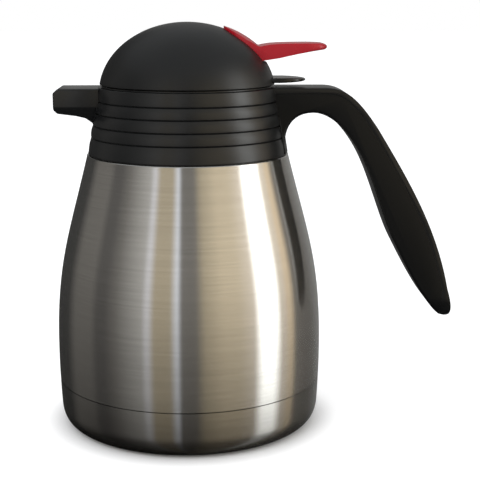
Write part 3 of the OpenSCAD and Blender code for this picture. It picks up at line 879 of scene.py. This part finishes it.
# %% Room
# Each strip: what it is, then its first and last direction in degrees, each with the colour there.
DARK, SHADE, DIM = (0.07, 0.07, 0.068), (0.13, 0.125, 0.12), (0.23, 0.22, 0.205)
PLAIN, PALE, WARM = (0.40, 0.40, 0.39), (0.62, 0.61, 0.58), (0.64, 0.55, 0.39)
SUNLIT, CREAM, GOLD = (0.94, 0.80, 0.57), (1.10, 0.96, 0.78), (1.15, 0.92, 0.62)
WINDOW, LINE, FRAME = (4.2, 4.25, 4.15), (1.0, 1.0, 1.04), (1.15, 1.2, 1.3)
ROOM = [
    ("wall behind", -180, PLAIN, -174, PLAIN), ("dark corner", -165, DARK, -130, DARK),
    ("far wall", -116, DIM, -94, DIM), ("doorway", -86, SHADE, -77, SHADE),
    ("side wall", -66, DIM, -41, PALE), ("narrow window", -37, LINE, -35, LINE),
    ("lamp-lit wall", -30, WARM, -16, WARM),
    ("door frame", -10.6, FRAME, -9.8, FRAME), ("hall", -6.5, DIM, 6, DIM),
    ("warm wall", 14, WARM, 30, SUNLIT), ("warm wall, nearer", 44, SUNLIT, 58, CREAM),
    ("window", 66.5, WINDOW, 78.5, WINDOW), ("curtain", 87, CREAM, 92, CREAM),
    ("lamp", 95, GOLD, 99, GOLD), ("cupboard", 106, DIM, 130, DIM),
    ("wall behind, right", 155, PLAIN, 180, PLAIN)]
# How bright the strips are from straight down, 0, to straight up, 1.
LEVELS = ((0.0, 0.02), (0.20, 0.05), (0.27, 0.20), (0.32, 0.40), (0.39, 0.63),
          (0.52, 0.87), (0.63, 1.0), (0.80, 0.8), (1.0, 0.7))
BRIGHTEST = 4.25
CEILING_FROM, CEILING_TO = 0.40, 0.75
CEILING = (0.42, 0.43, 0.44)
SKY, SKY_LEVEL = (0.97, 0.98, 1.0, 1), 0.82

world = bpy.data.worlds.new("room")
bpy.context.scene.world = world
world.use_nodes = True
world.cycles.sampling_method = "NONE"
room = Finish(world.node_tree)
way = room.node("ShaderNodeTexCoord", out="Generated")
east, north, rise = (room.node("ShaderNodeSeparateXYZ", {}, {0: way}, out=axis) for axis in "XYZ")
turn = east.maths("ARCTAN2", north * -1.0) / (2 * math.pi) + 0.5
strips = room.node("ShaderNodeValToRGB", {
    "stops": [((a + 180) / 360, tuple(c / BRIGHTEST for c in colour))
              for _, a, first, b, last in ROOM for a, colour in ((a, first), (b, last))]}, {"Fac": turn})
level = room.node("ShaderNodeValToRGB", {"stops": [(height, (grey,) * 3) for height, grey in LEVELS]}, {
    "Fac": rise * 0.5 + 0.5})
strips_lit = room.node("ShaderNodeMix", {"data_type": "RGBA", "blend_type": "MULTIPLY"}, {
    "Factor": 1.0, 6: strips, 7: level}, out=2)
overhead = room.node("ShaderNodeMapRange", {"interpolation_type": "SMOOTHSTEP"}, {
    "Value": rise, "From Min": CEILING_FROM, "From Max": CEILING_TO, "To Min": 0.0, "To Max": 1.0})
with_ceiling = room.node("ShaderNodeMix", {"data_type": "RGBA"}, {
    "Factor": overhead, 6: strips_lit, 7: tuple(c / BRIGHTEST for c in CEILING) + (1,)}, out=2)
glossy_room = room.node("ShaderNodeBackground", {}, {"Color": with_ceiling, "Strength": BRIGHTEST})
plain_sky = room.node("ShaderNodeBackground", {}, {"Color": SKY, "Strength": SKY_LEVEL})
white_sky = room.node("ShaderNodeBackground", {}, {"Color": (1, 1, 1, 1), "Strength": 1.0})
glossy = room.node("ShaderNodeLightPath", out="Is Glossy Ray")
camera_ray = room.node("ShaderNodeLightPath", out="Is Camera Ray")
lit = room.node("ShaderNodeMixShader", {}, {0: glossy, 1: plain_sky, 2: glossy_room})
shown = room.node("ShaderNodeMixShader", {}, {0: camera_ray, 1: lit, 2: white_sky})
room.node("ShaderNodeOutputWorld", {}, {"Surface": shown})
print("room strips", len(ROOM))

# %% Lamp
LAMP_AT, LAMP_AIM = (-0.7, -0.8, 1.1), (0, 0, 0.12)
LAMP_WIDE, LAMP_HIGH, LAMP_WATTS = 0.9, 0.7, 5.0
lamp_data = bpy.data.lights.new("window_lamp", "AREA")
lamp_data.shape = "RECTANGLE"
lamp_data.size = LAMP_WIDE
lamp_data.size_y = LAMP_HIGH
lamp_data.energy = LAMP_WATTS
lamp = bpy.data.objects.new("window_lamp", lamp_data)
bpy.context.scene.collection.objects.link(lamp)
lamp.location = LAMP_AT
lamp.rotation_euler = (Vector(LAMP_AIM) - lamp.location).to_track_quat("-Z", "Y").to_euler()
lamp.visible_glossy = False
print("lamp at", tuple(round(c, 2) for c in lamp.location))

# %% View settings
bpy.context.scene.view_settings.view_transform = "Standard"
